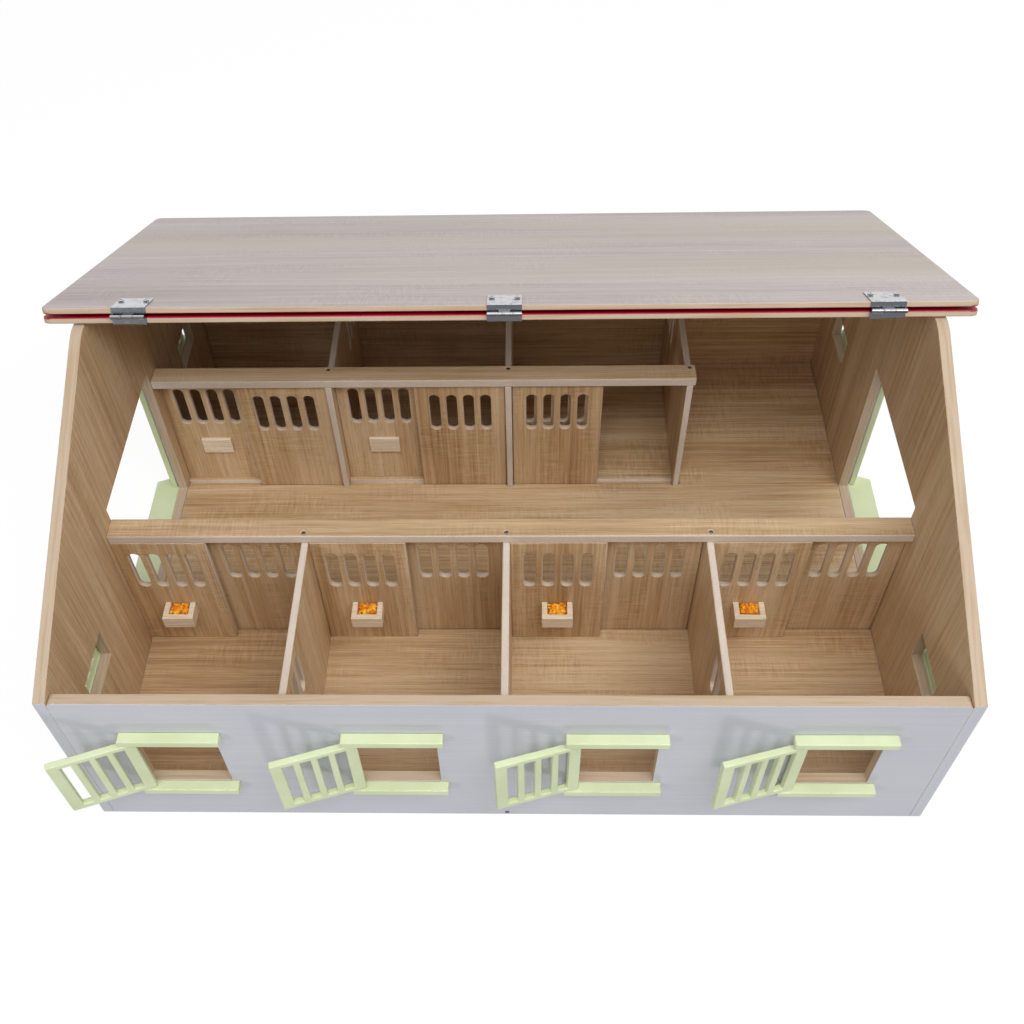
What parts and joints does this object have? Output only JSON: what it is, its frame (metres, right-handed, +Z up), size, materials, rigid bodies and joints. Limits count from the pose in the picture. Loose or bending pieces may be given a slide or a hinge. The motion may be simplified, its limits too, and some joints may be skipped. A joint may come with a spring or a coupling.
{
  "type": "toy horse stable",
  "caption": "Wooden toy stable with a hinged fold-back roof, two rows of stalls with sliding doors along an aisle, shuttered windows and double doors at both ends.",
  "frame": {"origin": "on the ground, in the middle of the walls' footprint, under the ridge", "axes": "+X along the building to the right, -Y to the front with the windows, +Z up"},
  "size_m": [0.7348, 0.5947, 0.3144],
  "materials": {
    "wall_board": "satin white paint",
    "roof_board": "satin red paint",
    "green_board": "satin green paint",
    "oak_board": "oak grain",
    "beech": "bare wood",
    "feed": "coarse grain",
    "steel": "bright zinc"
  },
  "bodies": {
    "stable": {"back_wall": "wall_board", "beam_screws": "steel", "doorsteps": "green_board", "doorway_lintels": "green_board", "end_door_pins": "steel", "feed_troughs": "beech", "floor_board": "oak_board", "front_beam": "oak_board", "front_panel_1": "oak_board", "front_panel_2": "oak_board", "front_panel_3": "oak_board", "front_panel_4": "oak_board", "front_partition_1": "oak_board", "front_partition_2": "oak_board", "front_partition_3": "oak_board", "front_wall": "wall_board", "front_window_lintels": "green_board", "front_window_sills": "green_board", "hinge_fixed_leaves": "steel", "hinge_fixed_screws": "steel", "hinge_pins": "steel", "left_end_wall": "wall_board", "rear_beam": "oak_board", "rear_panel_1": "oak_board", "rear_panel_2": "oak_board", "rear_panel_3": "oak_board", "rear_partition_1": "oak_board", "rear_partition_2": "oak_board", "rear_partition_3": "oak_board", "right_end_wall": "wall_board", "roof_rear_panel": "roof_board", "shutter_pins": "steel", "side_window_lintels": "green_board", "side_window_sills": "green_board", "trough_blocks": "beech", "trough_feed": "feed", "wall_screws": "steel"},
    "roof_flap": {"roof_front_panel": "roof_board", "hinge_moving_leaves": "steel", "hinge_moving_screws": "steel"},
    "front_shutter_1": {"front_shutter_1": "green_board"},
    "front_shutter_2": {"front_shutter_2": "green_board"},
    "front_shutter_3": {"front_shutter_3": "green_board"},
    "front_shutter_4": {"front_shutter_4": "green_board"},
    "left_front_side_shutter": {"left_front_side_shutter": "green_board"},
    "left_front_end_door": {"left_front_end_door": "green_board"},
    "left_rear_side_shutter": {"left_rear_side_shutter": "green_board"},
    "left_rear_end_door": {"left_rear_end_door": "green_board"},
    "right_front_side_shutter": {"right_front_side_shutter": "green_board"},
    "right_front_end_door": {"right_front_end_door": "green_board"},
    "right_rear_side_shutter": {"right_rear_side_shutter": "green_board"},
    "right_rear_end_door": {"right_rear_end_door": "green_board"},
    "front_door_1": {"front_door_1": "oak_board"},
    "front_door_2": {"front_door_2": "oak_board"},
    "front_door_3": {"front_door_3": "oak_board"},
    "front_door_4": {"front_door_4": "oak_board"},
    "rear_door_1": {"rear_door_1": "oak_board"},
    "rear_door_2": {"rear_door_2": "oak_board"},
    "rear_door_3": {"rear_door_3": "oak_board"}
  },
  "joints": [
    {"name": "roof_fold", "type": "hinge", "parent": "stable", "child": "roof_flap", "pos_m": [0, 0, 0.30994], "axis": [1, 0, 0], "range_deg": [0, 229]},
    {"name": "front_shutter_1_swing", "type": "hinge", "parent": "stable", "child": "front_shutter_1", "pos_m": [-0.27975, -0.272, 0.097], "axis": [0, 0, 1], "range_deg": [-14, 161]},
    {"name": "front_shutter_2_swing", "type": "hinge", "parent": "stable", "child": "front_shutter_2", "pos_m": [-0.11325, -0.272, 0.097], "axis": [0, 0, 1], "range_deg": [-12, 163]},
    {"name": "front_shutter_3_swing", "type": "hinge", "parent": "stable", "child": "front_shutter_3", "pos_m": [0.05325, -0.272, 0.097], "axis": [0, 0, 1], "range_deg": [-11, 164]},
    {"name": "front_shutter_4_swing", "type": "hinge", "parent": "stable", "child": "front_shutter_4", "pos_m": [0.21975, -0.272, 0.097], "axis": [0, 0, 1], "range_deg": [-10, 165]},
    {"name": "left_front_side_shutter_swing", "type": "hinge", "parent": "stable", "child": "left_front_side_shutter", "pos_m": [-0.3435, -0.2155, 0.1055], "axis": [0, 0, 1], "range_deg": [0, 165]},
    {"name": "left_front_end_door_swing", "type": "hinge", "parent": "stable", "child": "left_front_end_door", "pos_m": [-0.3435, -0.084, 0.0905], "axis": [0, 0, 1], "range_deg": [-172, 2]},
    {"name": "left_rear_side_shutter_swing", "type": "hinge", "parent": "stable", "child": "left_rear_side_shutter", "pos_m": [-0.3435, 0.2155, 0.1055], "axis": [0, 0, 1], "range_deg": [-165, 0]},
    {"name": "left_rear_end_door_swing", "type": "hinge", "parent": "stable", "child": "left_rear_end_door", "pos_m": [-0.3435, 0.084, 0.0905], "axis": [0, 0, 1], "range_deg": [-2, 165]},
    {"name": "right_front_side_shutter_swing", "type": "hinge", "parent": "stable", "child": "right_front_side_shutter", "pos_m": [0.3435, -0.2155, 0.1055], "axis": [0, 0, 1], "range_deg": [-165, 0]},
    {"name": "right_front_end_door_swing", "type": "hinge", "parent": "stable", "child": "right_front_end_door", "pos_m": [0.3435, -0.084, 0.0905], "axis": [0, 0, 1], "range_deg": [-2, 172]},
    {"name": "right_rear_side_shutter_swing", "type": "hinge", "parent": "stable", "child": "right_rear_side_shutter", "pos_m": [0.3435, 0.2155, 0.1055], "axis": [0, 0, 1], "range_deg": [0, 165]},
    {"name": "right_rear_end_door_swing", "type": "hinge", "parent": "stable", "child": "right_rear_end_door", "pos_m": [0.3435, 0.084, 0.0905], "axis": [0, 0, 1], "range_deg": [-165, 2]},
    {"name": "front_door_1_slide", "type": "slide", "parent": "stable", "child": "front_door_1", "axis": [1, 0, 0], "range_m": [-0.07525, 0]},
    {"name": "front_door_2_slide", "type": "slide", "parent": "stable", "child": "front_door_2", "axis": [1, 0, 0], "range_m": [-0.07525, 0]},
    {"name": "front_door_3_slide", "type": "slide", "parent": "stable", "child": "front_door_3", "axis": [1, 0, 0], "range_m": [-0.07525, 0]},
    {"name": "front_door_4_slide", "type": "slide", "parent": "stable", "child": "front_door_4", "axis": [1, 0, 0], "range_m": [-0.07525, 0]},
    {"name": "rear_door_1_slide", "type": "slide", "parent": "stable", "child": "rear_door_1", "axis": [1, 0, 0], "range_m": [-0.07525, 0]},
    {"name": "rear_door_2_slide", "type": "slide", "parent": "stable", "child": "rear_door_2", "axis": [1, 0, 0], "range_m": [-0.07525, 0]},
    {"name": "rear_door_3_slide", "type": "slide", "parent": "stable", "child": "rear_door_3", "axis": [1, 0, 0], "range_m": [0, 0.07525]}
  ]
}
